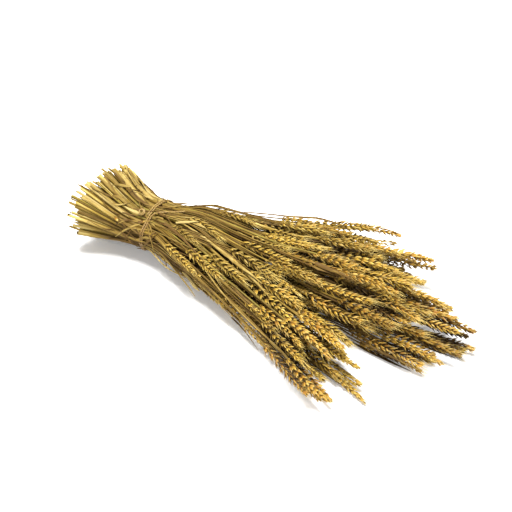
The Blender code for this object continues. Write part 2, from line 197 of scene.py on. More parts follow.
class Straw:
    """The line of one straw, from its cut end to the tip of its ear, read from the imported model."""

    def __init__(self, number, middles, radii):
        self.rng = np.random.default_rng((SEED, number))
        self.x, self.side = middles[:, 0], middles[:, 1:]
        self.radii = radii
        rise = np.diff(self.side, axis=0) / np.diff(self.x)[:, None]
        before, after = rise[:-1], rise[1:]
        steady = before * after > 0
        self.slope = np.vstack([rise[:1], np.zeros_like(before), rise[-1:]])
        self.slope[1:-1][steady] = (2 * before * after / np.where(steady, before + after, 1))[steady]
        self.cut, self.neck, self.tip = self.x[0], self.x[-EAR_RINGS], self.x[-1]

    def middle(self, x):
        """Points on the straw's line, on a curve that never swings past its rings."""
        x = np.clip(np.atleast_1d(x), self.x[0], self.x[-1])
        k = np.clip(np.searchsorted(self.x, x) - 1, 0, len(self.x) - 2)
        width = (self.x[k + 1] - self.x[k])[:, None]
        t = (x - self.x[k])[:, None] / width
        place = (
            (2 * t**3 - 3 * t**2 + 1) * self.side[k] + (t**3 - 2 * t**2 + t) * width * self.slope[k]
            + (3 * t**2 - 2 * t**3) * self.side[k + 1] + (t**3 - t**2) * width * self.slope[k + 1]
        )
        return np.column_stack([x, place])

    def radius(self, x):
        return np.minimum(np.interp(x, self.x, self.radii) * CULM_SHARE, THICKEST_CULM)


def read_straws():
    """Every straw by the node that holds it, and the x of the two waist planes."""
    stalks = sorted(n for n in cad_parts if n.startswith("stalk_"))
    found = {n: [rings_along(corners_and_edges(n)[0])] for n in stalks}
    waist = found[stalks[0]][0][0][1:3, 0]
    for node in sorted(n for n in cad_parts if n.startswith("inner_handful_")):
        found[node] = straws_in_handful(node, waist)
    numbers = iter(range(1000))
    return {n: [Straw(next(numbers), *lines) for lines in found[n]] for n in found}, waist


class Tiller:
    """A short late straw that grew between two others. It has the same parts as a Straw."""

    def __init__(self, number, pair, waist, reach, lift):
        self.rng = rng = np.random.default_rng((SEED, 3, number))
        self.pair, self.share = pair, rng.uniform(0.3, 0.7)
        self.cut = waist[0] - rng.uniform(0, 9) * MM
        self.tip = min(waist[1] + rng.uniform(*reach), max(s.tip for s in pair))
        self.neck = self.tip - rng.uniform(*TILLER_EAR)
        self.out, self.start = rng.uniform(*lift), waist[1]

    def middle(self, x):
        x = np.atleast_1d(x)
        place = between(self.pair, self.share, x)
        lift = np.clip((x - self.start) / (60 * MM), 0, 1) * self.out
        away = unit(place[:, 1:] - core.at(x))
        place[:, 1:] += away * lift[:, None]
        return place

    def radius(self, x):
        return np.full(len(np.atleast_1d(x)), TILLER_RADIUS)


def between(pair, share, x):
    """Points between the lines of two straws."""
    place = mixed(pair[0].middle(x), pair[1].middle(x), share)
    place[:, 0] = x
    return place


class Core:
    """The line through the middle of all the straws."""

    def __init__(self, straws):
        self.x = np.linspace(min(s.cut for s in straws), max(s.tip for s in straws), 80)
        self.line = np.array([self.middle(straws, x) for x in self.x])

    def middle(self, straws, x):
        there = np.array([s.middle(x)[0, 1:] for s in straws if s.cut <= x <= s.tip])
        return (there.min(axis=0) + there.max(axis=0)) / 2

    def at(self, x):
        return sampled(x, self.x, self.line)


class Crowd:
    """How closely straws crowd round a point, against the most at that distance along the bundle."""

    CELL = 5 * MM
    BLUR = 2  # cells to each side, twice
    EDGE = 8  # empty cells round the bundle

    def __init__(self, straws):
        self.low = np.array(cad_low) - self.EDGE * self.CELL
        shape = np.ceil((np.array(cad_high) - np.array(cad_low)) / self.CELL).astype(int) + 2 * self.EDGE + 1
        fill = np.zeros(shape)
        for straw in straws:
            x = np.arange(straw.cut, straw.tip, 0.5 * self.CELL)
            cell = ((straw.middle(x) - self.low) / self.CELL).round().astype(int)
            np.add.at(fill, tuple(cell.T), np.interp(x, straw.x, straw.radii) ** 2)
        for axis in range(3):
            for _ in range(2):
                fill = sum(np.roll(fill, k, axis) for k in range(-self.BLUR, self.BLUR + 1))
        most = fill.max(axis=(1, 2))
        self.fill = fill / np.maximum(most, 0.3 * np.median(most))[:, None, None]

    def at(self, points):
        cell = (points - self.low) / self.CELL
        first = np.clip(cell.astype(int), 0, np.array(self.fill.shape) - 2)
        share = np.clip(cell - first, 0, 1)
        total = np.zeros(len(points))
        for corner in np.ndindex(2, 2, 2):
            weight = np.prod(np.where(corner, share, 1 - share), axis=1)
            total += weight * self.fill[tuple((first + corner).T)]
        return total


# ---------------------------------------------------------------- gathering a mesh


class Build:
    """The points and faces of one piece, each point with its values for the materials."""

    # flaw holds dark joints, brown leaf edges and husk dirt, and painted shade inside the hollow cut ends
    VALUES = ("tone", "along", "flaw", "spread")

    def __init__(self):
        self.points, self.quads, self.triangles, self.count = [], [], [], 0
        self.slots = ([], [])
        self.values = {name: [] for name in self.VALUES}
        self.grain = []

    def add(self, points, quads, triangles, slot, grain, **values):
        """Adds a closed shape. slot is one material slot, or one for each quad."""
        self.points.append(points)
        for gathered, faces, slots in zip((self.quads, self.triangles), (quads, triangles), self.slots):
            gathered.append(faces + self.count)
            each = np.ndim(slot) and len(faces) == np.size(slot)
            slots.append(np.broadcast_to(slot if each else np.ravel(slot)[0], len(faces)))
        self.count += len(points)
        for name in self.VALUES:
            self.values[name].append(np.broadcast_to(values.get(name, 0.0), len(points)))
        self.grain.append(np.broadcast_to(grain, (len(points), 3)))

    def made(self, name, finishes):
        points = np.concatenate(self.points)
        points[:, 2] = np.maximum(points[:, 2], FLOOR_CLEARANCE)
        quads, triangles = np.concatenate(self.quads), np.concatenate(self.triangles)
        corners = np.concatenate([quads.ravel(), triangles.ravel()]).astype(np.int32)
        starts = np.concatenate([np.arange(len(quads)) * 4, len(quads) * 4 + np.arange(len(triangles)) * 3])
        mesh = bpy.data.meshes.new(name)
        mesh.vertices.add(len(points))
        mesh.vertices.foreach_set("co", points.astype(np.float32).ravel())
        mesh.loops.add(len(corners))
        mesh.polygons.add(len(starts))
        mesh.polygons.foreach_set("loop_start", starts.astype(np.int32))
        mesh.polygons.foreach_set("vertices", corners)
        slots = np.concatenate(self.slots[0] + self.slots[1]).astype(np.int32)
        mesh.polygons.foreach_set("material_index", slots)
        mesh.update(calc_edges=True)
        mesh.shade_smooth()
        mesh.set_sharp_from_angle(angle=math.radians(SHARP_ANGLE))
        fields = {value: np.concatenate(gathered) for value, gathered in self.values.items()}
        # deep: how crowded it is round and just above each point, read for the painted shade
        for value, numbers in {**fields, "deep": crowd.at(points + [0, 0, SHELTER])}.items():
            field = mesh.attributes.new(value, "FLOAT", "POINT")
            field.data.foreach_set("value", numbers.astype(np.float32))
        field = mesh.attributes.new("grain", "FLOAT_VECTOR", "POINT")
        field.data.foreach_set("vector", np.concatenate(self.grain).astype(np.float32).ravel())
        for finish in finishes:
            mesh.materials.append(finish)
        piece = bpy.data.objects.new(name, mesh)
        bpy.context.scene.collection.objects.link(piece)
        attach(piece, "root")
        return piece


def lattice(rings, sides):
    """Quads between rings of points, wound so that they face out when rings turn anticlockwise about +x."""
    ring, side = np.meshgrid(np.arange(rings - 1), np.arange(sides), indexing="ij")
    a, b = ring * sides + side, ring * sides + (side + 1) % sides
    return np.stack([a, b, b + sides, a + sides], axis=-1).reshape(-1, 4)


def cap(first, sides, pole, start):
    """Triangles from one ring to a pole, before the first ring or after the last."""
    a = first + np.arange(sides)
    b = first + (np.arange(sides) + 1) % sides
    return np.column_stack([b, a, np.full(sides, pole)] if start else [a, b, np.full(sides, pole)])


def caps(rings, sides):
    """The caps of a lattice whose two poles come after its rings."""
    poles = rings * sides
    return np.vstack([cap(0, sides, poles, True), cap(poles - sides, sides, poles + 1, False)])


def circle(aside, above, sides):
    """Rings of unit radius in the plane of two ways, and the angle of each side."""
    turn = np.arange(sides) * 2 * math.pi / sides
    return np.cos(turn)[None, :, None] * aside[:, None] + np.sin(turn)[None, :, None] * above[:, None], turn


def crosswise(middles):
    """Two directions square to a line at each of its points, the second one upward."""
    ahead = unit(np.gradient(middles, axis=0))
    aside = unit(np.cross(np.broadcast_to([0.0, 0, 1], ahead.shape), ahead))
    return ahead, aside, np.cross(ahead, aside)


# ---------------------------------------------------------------- culms


def culm_stations(straw, waist):
    """Where the culm's rings are: x, radius, whether a sheath covers it, slant of the ring, and darkness."""
    rng = straw.rng
    regular = np.arange(straw.cut, straw.neck, STATION_STEP) + rng.uniform(-2, 2) * MM
    regular = regular[(regular > straw.cut + 4 * MM) & (regular < straw.neck - 4 * MM)]
    joints, sheaths = [], []
    place = rng.uniform(waist[0] - 75 * MM, waist[0] - 15 * MM)
    while place < straw.neck - 45 * MM:
        joints.append(place)
        if rng.random() < SHEATH_CHANCE:
            reach = rng.uniform(60, 130) * MM
            sheaths.append((place, min(place + reach, straw.neck - 22 * MM)))
        place += rng.uniform(105, 165) * MM
    joints = [j for j in joints if j > straw.cut + 8 * MM]
    sheaths = [s for s in sheaths if s[0] > straw.cut + 8 * MM and s[1] - s[0] > 20 * MM]
    rows = []
    for x in regular:
        near = [abs(x - j) < 5.5 * MM for j in joints] + [abs(x - s[1]) < 6.5 * MM for s in sheaths]
        if not any(near):
            covered = any(s[0] < x < s[1] for s in sheaths)
            rows.append((x, 0.0, covered, 0.0, 0.0))
    for j in joints:
        covered = any(abs(s[0] - j) < SAME_PLACE for s in sheaths)
        dark = rng.uniform(0.25, 0.8)
        rows += [(j - 4 * MM, 0, 0, 0, 0), (j - 1.6 * MM, 0.20, 0, 0, 0.2 * dark), (j, 0.34, 0, 0, dark)]
        rows += [(j + 1.5 * MM, 0.20, covered, 0, 0.5 * dark), (j + 4 * MM, 0, covered, 0, 0)]
    for _, end in sheaths:
        slant = rng.uniform(1.0, 4.5) * MM
        rows += [(end, 0.06, 1, slant, 0.25), (end + 0.5 * MM, -0.04, 0, slant, 0.35)]
    rows = np.array(sorted(rows), float)
    rows = rows[(rows[:, 0] > straw.cut + 3 * MM) & (rows[:, 0] < straw.neck - 2 * MM)]
    inside_ear = np.linspace(straw.neck, straw.tip - 2 * MM, 6)
    return rows, inside_ear, sheaths


def wander(straw, x, waist):
    """How far the straw strays from its line, which is nothing at the waist."""
    rng = np.random.default_rng((SEED, 7, int(straw.cut * 1e6) % 9973))
    away = np.clip(np.maximum(waist[0] - x, x - waist[1]) / (40 * MM), 0, 1)
    phase, pitch = rng.uniform(0, 2 * math.pi, (2, 2)), rng.uniform(90, 170, (2, 2)) * MM
    waves = np.sin(x[:, None, None] * 2 * math.pi / pitch + phase).sum(axis=2)
    return np.column_stack([np.zeros(len(x)), waves * 0.45 * MM * away[:, None]])


def add_hollow(build, middles, radius, flat, roll, lag, sides, slots, flaw, tone, seed, along):
    """A tube whose first end is cut and hollow. flat is how far it is crushed, and lag slants its rings."""
    ahead, aside, above = crosswise(middles)
    turn = np.arange(sides) * 2 * math.pi / sides
    wide, thin = radius * (1 + 0.40 * flat), radius * (1 - flat)
    major, minor = wide[:, None] * np.cos(turn - roll), thin[:, None] * np.sin(turn - roll)
    right = major * math.cos(roll) - minor * math.sin(roll)
    up = major * math.sin(roll) + minor * math.cos(roll)
    points = middles[:, None] + aside[:, None] * right[..., None] + above[:, None] * up[..., None]
    points = points + ahead[:, None] * lag[..., None]
    rim = points[0]
    centre = rim.mean(axis=0)
    inner = centre + (rim - centre) * WALL_SHARE
    deep = inner + ahead[0] * HOLLOW_DEPTH
    point = middles[-1] + ahead[-1] * 1.5 * MM
    everything = np.vstack([deep, inner, points.reshape(-1, 3), deep.mean(axis=0), point])
    rings = len(middles) + 2
    length = length_along(middles)
    down = np.concatenate([np.zeros(2 * sides), np.repeat(length, sides), [0, length[-1]]])
    around = np.concatenate([np.tile(turn, rings), [0, 0]])
    grain = np.column_stack([np.cos(around), np.sin(around) + seed, down * 25])
    quad_slots = np.repeat([slots[0]] * 2 + list(slots), sides)[: (rings - 1) * sides]
    # painted shade inside the hollow cut end: its inner rings and deep pole are darkened
    hollow_painted_shade = np.repeat([1.0, 0.5], sides)
    build.add(everything, lattice(rings, sides), caps(rings, sides), quad_slots, grain, tone=tone,
              spread=seed / MOST_SEED, flaw=np.concatenate([hollow_painted_shade, np.repeat(flaw, sides), [1.0, 0.0]]),
              along=np.concatenate([np.zeros(2 * sides), np.repeat(along, sides), [0.0, along[-1]]]))


def add_culm(build, straw, waist, sides, tone):
    rng = straw.rng
    rows, inside_ear, sheaths = culm_stations(straw, waist)
    rows = np.vstack([[(straw.cut + 2.5 * MM, 0, 0, rng.uniform(-2.2, 2.2) * MM, 0.1)], rows])
    plain = np.column_stack([inside_ear, np.zeros((len(inside_ear), rows.shape[1] - 1))])
    x, swell, covered, slant, dark = np.vstack([rows, plain]).T
    past = np.clip((x - waist[0]) / (34 * MM), 0, 1)
    radius = straw.radius(np.minimum(x, straw.neck)) * mixed(1, rng.uniform(*SLIMNESS), past)
    in_ear = np.interp(x, [straw.neck, straw.tip], [1.15 * MM, 0.5 * MM])
    dressed = radius * (1 + 0.5 * swell) + (covered > 0) * 0.28 * MM
    radius = np.where(x > straw.neck - SAME_PLACE, in_ear, dressed)
    flat = rng.uniform(0.05, 0.5) * np.clip((waist[0] - x) / (50 * MM), 0, 1) + rng.uniform(0, 0.12)
    roll, slant_roll = rng.uniform(0, 2 * math.pi, 2)
    lag = slant[:, None] * np.cos(np.arange(sides) * 2 * math.pi / sides - slant_roll)
    slots = np.where((covered[:-1] > 0) & (covered[1:] > 0), SHEATH, CULM)
    add_hollow(build, straw.middle(x) + wander(straw, x, waist), radius, flat, roll, lag, sides,
               np.append(slots, CULM), dark, tone, rng.uniform(0, MOST_SEED), (x - waist[0]) / STRAW_REACH)
    return sheaths


def add_broken(build, rng, pair, waist, tone):
    """A short broken stalk, flattened, between two straws' feet: from the waist to about their cut ends."""
    share = rng.uniform(0.25, 0.75)
    end = mixed(pair[0].cut, pair[1].cut, share) + rng.uniform(*BROKEN_SHORT)
    x = np.linspace(end, waist[0] + 2 * MM, 6)
    down = np.linspace(0, 1, len(x))
    middles = between(pair, share, x)
    middles[:, 1:] += np.outer(np.sin(down * 3 + rng.uniform(0, 6)), rng.normal(0, 0.7, 2)) * MM
    radius = np.interp(down, [0, 0.5, 1], [1, 0.85, 0.4]) * rng.uniform(1.3, 2.3) * MM
    lag = np.zeros((len(x), BROKEN_SIDES))
    lag[0] = rng.uniform(-2.5, 2.5, BROKEN_SIDES) * MM
    add_hollow(build, middles, radius, np.full(len(x), rng.uniform(0.1, 0.6)), rng.uniform(0, math.pi), lag,
               BROKEN_SIDES, np.full(len(x), rng.choice([CULM, SHEATH])), np.linspace(0.1, 0, len(x)), tone,
               rng.uniform(0, MOST_SEED), (x - waist[0]) / STRAW_REACH)


# ---------------------------------------------------------------- ears


class Boat:
    """A closed keeled scale, pointed at both ends: length along x, width across y, back towards +z."""

    def __init__(self, section, rings):
        section = np.array(section)
        self.sides = len(section)
        points = [
            np.column_stack([np.full(self.sides, u), section[:, 0] * width, section[:, 1] * depth + lift])
            for u, width, depth, lift in rings
        ]
        self.points = np.vstack(points + [[[0, 0, 0.0]], [[1.0, 0, rings[-1][3]]]])
        count = len(rings)
        self.quads = lattice(count, self.sides)
        self.triangles = caps(count, self.sides)
        self.around = np.concatenate([np.tile(abs(section[:, 0]), count), [0, 0]])


KEELED = ((-1.0, 0.0), (0.0, -0.30), (1.0, 0.0), (0.58, 0.66), (0.0, 1.0), (-0.58, 0.66))
PLAIN = ((-1.0, 0.0), (0.0, -0.30), (1.0, 0.0), (0.45, 0.90), (-0.45, 0.90))
FINE_BOAT = Boat(KEELED, (
    (0.10, 0.54, 0.54, 0.14), (0.36, 0.98, 1.0, 0.42), (0.66, 0.66, 0.70, 0.44), (0.87, 0.20, 0.25, 0.36),
))
PLAIN_BOAT = Boat(PLAIN, ((0.14, 0.66, 0.66, 0.20), (0.44, 1.0, 1.0, 0.45), (0.80, 0.38, 0.42, 0.42)))


def place_boats(build, boat, origin, length_way, back_way, sizes, tone, seeds, dirt_and_shade):
    """Adds copies of a boat. sizes are length, half width and depth; back_way is only roughly square."""
    back = square_to(length_way, back_way)
    across = np.cross(back, length_way)
    p = boat.points
    points = (
        origin[:, None]
        + length_way[:, None] * (p[None, :, :1] * sizes[:, None, :1])
        + across[:, None] * (p[None, :, 1:2] * sizes[:, None, 1:2])
        + back[:, None] * (p[None, :, 2:] * sizes[:, None, 2:])
    )
    count, each = len(origin), len(p)
    shift = np.arange(count)[:, None, None] * each
    along = np.tile(np.clip(p[:, 0], 0, 1), count)
    grain = np.column_stack([np.tile(boat.around, count), along, np.repeat(seeds, each)])
    build.add(points.reshape(-1, 3), (boat.quads[None] + shift).reshape(-1, 4),
              (boat.triangles[None] + shift).reshape(-1, 3), HUSK, grain,
              tone=np.repeat(tone, each), along=along, spread=np.repeat(seeds, each), flaw=dirt_and_shade)
    return origin + length_way * sizes[:, :1] * 0.93 + back * sizes[:, 2:] * 0.36


def add_awns(build, roots, ways, lengths, tone):
    """Thin pointed bristles from the tips of the lemmas."""
    aside = unit(np.cross(ways, [0.3, 0.2, 1.0]))
    ring, _ = circle(aside, np.cross(ways, aside), 3)
    count = len(roots)
    start = (roots - ways * 0.3 * MM)[:, None] + ring * AWN_RADIUS
    end = roots + ways * lengths[:, None] + np.array([0, 0, -0.03]) * lengths[:, None]
    points = np.concatenate([start, end[:, None]], axis=1)
    triangles = np.vstack([cap(0, 3, 3, False), [[2, 1, 0]]])
    along = np.tile([0.9] * 3 + [1.0], count)
    grain = np.column_stack([along * 0, along, along * 0])
    build.add(points.reshape(-1, 3), np.empty((0, 4), int),
              (triangles[None] + np.arange(count)[:, None, None] * 4).reshape(-1, 3), HUSK, grain,
              tone=tone, along=along, spread=0.5)


def add_ear(build, straw, waist, boat, tone):
    """Spikelets in two rows up the ear, each of two glumes and three lemmas, and a pair at the top."""
    rng = straw.rng
    count = int(rng.integers(*SPIKELETS) * min(1, (straw.tip - straw.neck) / SHORT_EAR))
    share = (np.arange(count) + 0.35) / count
    share = share * (1.30 - 0.30 * share) * EAR_USED
    share = np.concatenate([share, [EAR_USED, EAR_USED]])
    x = mixed(straw.neck, straw.tip, share)
    fine = np.linspace(straw.neck - 4 * MM, straw.tip, 40)
    line = straw.middle(fine) + wander(straw, fine, waist)
    bend = rng.normal(0, 2.4 * MM, 2)
    arch = np.sin(np.clip((fine - straw.neck) / (straw.tip - straw.neck), 0, 1) * math.pi)
    line[:, 1:] += arch[:, None] * bend
    ways = crosswise(line)
    middles = sampled(x, fine, line)
    ahead, aside, above = (unit(sampled(x, fine, way)) for way in ways)

    roll = rng.uniform(0, math.pi) + share * rng.uniform(-0.7, 0.7)
    roll[-2:] += math.pi / 2
    side = np.where(np.arange(count + 2) % 2, 1.0, -1.0)
    outward = (np.cos(roll)[:, None] * aside + np.sin(roll)[:, None] * above) * side[:, None]
    across = np.cross(ahead, outward)
    slimness = rng.uniform(0.88, 1.08) * min(1, (straw.tip - straw.neck) / SHORT_EAR)
    size = np.interp(share, [0, 0.08, 0.30, 0.60, EAR_USED], [0.62, 0.84, 1.0, 0.93, 0.70]) * slimness
    openness = rng.uniform(0.82, 1.18) * np.interp(share, [0.5, EAR_USED], [1.0, 0.7])

    # painted light: ears on the near side keep less of their random dirt darkening
    near_lit = np.clip((NEAR_LIT_SIDE - line[-1, 1]) / (60 * MM), 0, 1)
    dirt_and_shade = rng.uniform(0, 1) ** 2 * 0.60 * (1 - 0.8 * near_lit)
    tips, tip_ways = [], []
    rows = [(GLUME, -1), (GLUME, 1), (SIDE_LEMMA, -1), (SIDE_LEMMA, 1), (MIDDLE_LEMMA, 1)]
    for (up, over, out, tilt, fan, length, half, depth, aback), hand in rows:
        jitter = rng.normal(0, 1, (len(share), 6))
        end_tilt = np.where(np.arange(count + 2) >= count, 0.25, 1.0)
        lean = np.radians(tilt * openness * end_tilt + 7.5 * jitter[:, 0])
        apart = np.radians(hand * fan * openness + 8.5 * jitter[:, 1])
        turned = np.radians(hand * aback + 12 * jitter[:, 2])
        origin = middles + (ahead * up + outward * out + across * over * hand) * MM * size[:, None]
        way = unit(ahead * (np.cos(lean) * np.cos(apart))[:, None] + outward * np.sin(lean)[:, None]
                   + across * np.sin(apart)[:, None])
        back = outward * np.cos(turned)[:, None] + across * np.sin(turned)[:, None]
        sizes = np.array([length, half, depth]) * MM * size[:, None]
        sizes = sizes * (1 + 0.13 * np.clip(jitter[:, 3:6], -2, 2))
        seeds = rng.uniform(0, 1, len(share))
        shades = tone + 0.10 * rng.normal(0, 1, len(share))
        tip = place_boats(build, boat, origin, way, back, sizes, shades, seeds, dirt_and_shade)
        if up > 1:
            tips.append(tip)
            tip_ways.append(way)
    bristly = rng.random() < BRISTLY_SHARE
    for tip, way in zip(tips, tip_ways):
        chosen = rng.random(len(tip)) < np.where(share > 0.62, 0.9 if bristly else 0.5, 0.30)
        lengths = rng.uniform(1.5, 4.5, len(tip)) * MM * np.where(share > 0.8, 4.2 if bristly else 2.0, 0.9)
        if chosen.any():
            add_awns(build, tip[chosen], unit(way[chosen] + ahead[chosen] * 1.2), lengths[chosen], tone)


# ---------------------------------------------------------------- ribbons


def add_ribbon(build, middles, up, half_widths, curl, tone, rng, slot=0, columns=5, ragged=0.10,
               thickness=LEAF_THICKNESS):
    """A closed strip along a line. up is the way its back faces, and curl the angle that it spans across."""
    seed = rng.uniform(0, MOST_SEED)
    ahead = unit(np.gradient(middles, axis=0))
    up = square_to(ahead, up)
    side = np.cross(ahead, up)
    count = len(middles)
    reach = np.linspace(-1, 1, columns)
    curl = np.maximum(np.broadcast_to(curl, count), 0.05)
    bend = (2 * half_widths / curl)[:, None]
    edge = np.ones((count, columns))
    edge[:, 0] += rng.normal(0, ragged, count)
    edge[:, -1] += rng.normal(0, ragged, count)
    angle = reach[None] * edge * curl[:, None] / 2
    outward = np.sin(angle)[..., None] * side[:, None] + np.cos(angle)[..., None] * up[:, None]
    centre = middles[:, None] - up[:, None] * bend[..., None]
    layers = [centre + outward * (bend[..., None] + shift * thickness) for shift in (0.5, -0.5)]
    points = np.stack(layers, axis=1)  # along, layer, across
    loop = np.concatenate([points[:, 0], points[:, 1, ::-1]], axis=1)
    sides = 2 * columns
    quads = lattice(count, sides)[:, ::-1]
    walls = []
    for base, flip in ((0, False), ((count - 1) * sides, True)):
        for k in range(columns - 1):
            wall = [base + k, base + k + 1, base + sides - 2 - k, base + sides - 1 - k]
            walls.append(wall[::-1] if flip else wall)
    length = length_along(middles)
    over = np.concatenate([reach, reach[::-1]])
    grain = np.column_stack([
        np.tile(over, count) * np.repeat(half_widths / MM, sides), np.repeat(length / MM, sides),
        np.full(count * sides, seed),
    ])
    build.add(loop.reshape(-1, 3), np.vstack([quads, walls]), np.empty((0, 3), int), slot, grain,
              tone=tone, along=np.repeat(length / length[-1], sides), spread=seed % 1,
              flaw=np.tile(abs(over) ** 3 * 0.35, count))


def turned_about(vectors, axis, angle):
    """Vectors turned about an axis square to them."""
    return vectors * np.cos(angle)[:, None] + np.cross(axis, vectors) * np.sin(angle)[:, None]


def facing(middles, out, angle):
    """The way that a leaf's back faces along a line: out, turned about the line."""
    ahead = unit(np.gradient(middles, axis=0))
    return turned_about(square_to(ahead, out), ahead, angle)


# ---------------------------------------------------------------- the bundle's outside


class Skin:
    """How far the tied straws reach from the bundle's middle, by x and by the angle round it."""

    STEP = 3 * MM
    ANGLES = 96

    def __init__(self, straws, start, end):
        self.x = np.arange(start, end, self.STEP)
        self.angles = np.linspace(-math.pi, math.pi, self.ANGLES + 1)
        turn = np.linspace(0, 2 * math.pi, 14, endpoint=False)
        ring = np.column_stack([np.cos(turn), np.sin(turn)])
        here = np.array([[*s.middle(0.5 * (start + end))[0, 1:]] for s in straws])
        self.middle = (here.min(axis=0) + here.max(axis=0)) / 2
        self.reach = np.array([self.reach_at(straws, x, ring) for x in self.x])

    def reach_at(self, straws, x, ring):
        places = np.vstack([s.middle(x)[0, 1:] + ring * s.radius(x) for s in straws if s.cut < x < s.neck])
        hull = []
        order = places[np.lexsort((places[:, 1], places[:, 0]))] - self.middle
        for run in (order, order[::-1]):
            line = []
            for p in run:
                while len(line) > 1 and np.cross(line[-1] - line[-2], p - line[-2]) <= 0:
                    line.pop()
                line.append(p)
            hull += line[:-1]
        hull = np.array(hull)
        edge = np.roll(hull, -1, axis=0) - hull
        normal = unit(np.column_stack([edge[:, 1], -edge[:, 0]]))
        depth = (normal * hull).sum(axis=1)
        ways = np.column_stack([np.cos(self.angles), np.sin(self.angles)])
        return 1 / (ways @ normal.T / depth).max(axis=1)

    def at(self, x, angle, clear=0.0):
        """Points on the outside, raised by clear, and the ways out there."""
        x, angle = np.broadcast_arrays(np.atleast_1d(x).astype(float), np.asarray(angle, float))
        row = np.clip((x - self.x[0]) / self.STEP, 0, len(self.x) - 1.001)
        turn = ((angle + math.pi) % (2 * math.pi)) / (2 * math.pi) * self.ANGLES
        i, j = row.astype(int), np.minimum(turn.astype(int), self.ANGLES - 1)
        a, b = row - i, turn - j
        reach = ((1 - a) * (1 - b) * self.reach[i, j] + a * (1 - b) * self.reach[i + 1, j]
                 + (1 - a) * b * self.reach[i, j + 1] + a * b * self.reach[i + 1, j + 1]) + clear
        out = np.column_stack([np.zeros(len(x)), np.cos(angle), np.sin(angle)])
        across, up = self.middle
        return np.column_stack([x, across + reach * np.cos(angle), up + reach * np.sin(angle)]), out


# ---------------------------------------------------------------- materials


class Tree:
    """Short ways to add shader nodes to one material."""

    def __init__(self, name):
        self.material = bpy.data.materials.new(name)
        self.material.use_nodes = True
        self.nodes = self.material.node_tree.nodes
        self.surface = self.nodes["Principled BSDF"]

    def link(self, source, target):
        self.material.node_tree.links.new(source, target)

    def feed(self, value, socket):
        """Sets a socket. A name stands for the mesh's own value of that name."""
        if isinstance(value, str):
            value = self.value(value)
        if isinstance(value, bpy.types.NodeSocket):
            self.link(value, socket)
        elif isinstance(value, tuple):
            socket.default_value = (*value, 1.0) if len(value) == 3 and socket.type == "RGBA" else value
        else:
            socket.default_value = value

    def value(self, name):
        node = self.nodes.new("ShaderNodeAttribute")
        node.attribute_name = name
        return node.outputs["Vector"] if name == "grain" else node.outputs["Fac"]

    def maths(self, operation, a, b=0.0, clamp=False):
        node = self.nodes.new("ShaderNodeMath")
        node.operation, node.use_clamp = operation, clamp
        self.feed(a, node.inputs[0])
        self.feed(b, node.inputs[1])
        return node.outputs[0]

    def part(self, vector, axis):
        node = self.nodes.new("ShaderNodeSeparateXYZ")
        self.link(vector, node.inputs[0])
        return node.outputs[axis]

    def scaled(self, vector, scale):
        node = self.nodes.new("ShaderNodeVectorMath")
        node.operation = "MULTIPLY"
        self.link(vector, node.inputs[0])
        node.inputs[1].default_value = scale
        return node.outputs[0]

    def noise(self, vector, scale, detail=2.0, roughness=0.5):
        node = self.nodes.new("ShaderNodeTexNoise")
        self.link(vector, node.inputs["Vector"])
        node.inputs["Scale"].default_value = scale
        node.inputs["Detail"].default_value = detail
        node.inputs["Roughness"].default_value = roughness
        return node.outputs[0]

    def ramp(self, factor, stops):
        node = self.nodes.new("ShaderNodeValToRGB")
        self.feed(factor, node.inputs[0])
        line = node.color_ramp.elements
        while len(line) < len(stops):
            line.new(0.5)
        for stop, (place, colour) in zip(line, stops):
            stop.position, stop.color = place, (*colour, 1.0)
        return node.outputs[0]

    def band(self, factor, low, high, start=0.0, end=1.0):
        node = self.nodes.new("ShaderNodeMapRange")
        node.clamp = True
        for socket, value in zip(node.inputs, (factor, low, high, start, end)):
            self.feed(value, socket)
        return node.outputs[0]

    def mix(self, share, a, b):
        node = self.nodes.new("ShaderNodeMix")
        node.data_type = "RGBA"
        self.feed(share, node.inputs["Factor"])
        colours = [s for s in node.inputs if s.type == "RGBA"]
        self.feed(a, colours[0])
        self.feed(b, colours[1])
        return next(s for s in node.outputs if s.type == "RGBA")

    def bump(self, height, strength, distance):
        node = self.nodes.new("ShaderNodeBump")
        node.inputs["Strength"].default_value = strength
        node.inputs["Distance"].default_value = distance
        self.link(height, node.inputs["Height"])
        self.link(node.outputs[0], self.surface.inputs["Normal"])

    def with_painted_shade(self, colour, share=1.0):
        """The colour with painted shade: browner and darker where straws crowd round a point and above it."""
        deep = self.band("deep", 0.27, 0.73, 0.0, 0.94)
        return self.mix(self.maths("MULTIPLY", deep, share), colour, PAINTED_SHADE_BROWN)

    def wear(self, colour, roughness, specular):
        self.feed(colour, self.surface.inputs["Base Color"])
        self.feed(roughness, self.surface.inputs["Roughness"])
        self.surface.inputs["Specular IOR Level"].default_value = specular
        return self.material


